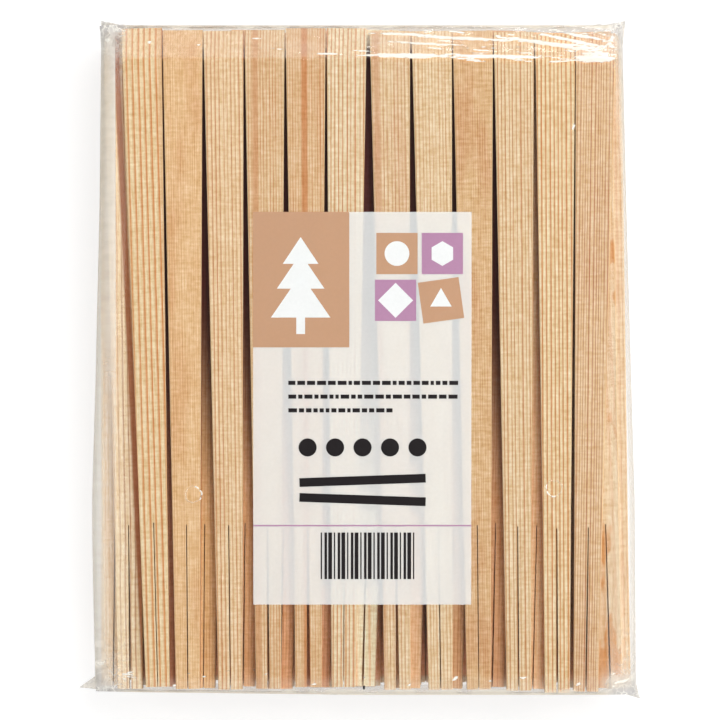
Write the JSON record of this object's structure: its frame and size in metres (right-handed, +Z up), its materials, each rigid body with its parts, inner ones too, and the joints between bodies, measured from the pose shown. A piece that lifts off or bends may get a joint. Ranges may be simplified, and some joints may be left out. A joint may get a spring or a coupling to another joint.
{
  "type": "pack of disposable wooden chopsticks",
  "caption": "Sealed clear film pack of disposable wooden chopsticks stacked in rows, each pair tapered, slit from its tips and joined at a slant-cut head.",
  "frame": {"origin": "centre of the bottom of the bag's bounding box, on the surface that the pack lies on", "axes": "+X across the rows, to the right as the print is read; +Y along the sticks towards their heads, up the printed face; +Z up through the stack, out of the printed face"},
  "size_m": [0.2068, 0.25, 0.0407],
  "materials": {
    "cedar": "bare quarter-sawn cedar, straight orange-brown grain along the sticks, planed smooth",
    "clear_film": "clear thin polypropylene film, glossy, stretched tight, with fine creases at both ends",
    "print_white": "white ink on the film, satin",
    "print_tan": "tan ink on the film, satin",
    "print_mauve": "mauve ink on the film, satin",
    "print_black": "black ink on the film, satin"
  },
  "bodies": {
    "root": {"film_bag": "clear_film", "bottom_row_pair_01": "cedar", "bottom_row_pair_02": "cedar", "bottom_row_pair_03": "cedar", "bottom_row_pair_04": "cedar", "bottom_row_pair_05": "cedar", "bottom_row_pair_06": "cedar", "bottom_row_pair_07": "cedar", "bottom_row_pair_08": "cedar", "bottom_row_pair_09": "cedar", "bottom_row_pair_10": "cedar", "bottom_row_pair_11": "cedar", "bottom_row_pair_12": "cedar", "row_2_pairs": "cedar", "row_3_pairs": "cedar", "row_4_pairs": "cedar", "row_5_pairs": "cedar", "row_6_pairs": "cedar", "row_7_pair_01": "cedar", "row_7_pair_02": "cedar", "row_7_pair_03": "cedar", "row_7_pair_04": "cedar", "row_7_pair_05": "cedar", "row_7_pair_06": "cedar", "row_7_pair_07": "cedar", "row_7_pair_08": "cedar", "row_7_pair_09": "cedar", "row_7_pair_10": "cedar", "row_7_pair_11": "cedar", "row_7_pair_12": "cedar", "top_row_pair_01": "cedar", "top_row_pair_02": "cedar", "top_row_pair_03": "cedar", "top_row_pair_04": "cedar", "top_row_pair_05": "cedar", "top_row_pair_06": "cedar", "top_row_pair_07": "cedar", "top_row_pair_08": "cedar", "top_row_pair_09": "cedar", "top_row_pair_10": "cedar", "top_row_pair_11": "cedar", "top_row_pair_12": "cedar"}
  },
  "joints": []
}
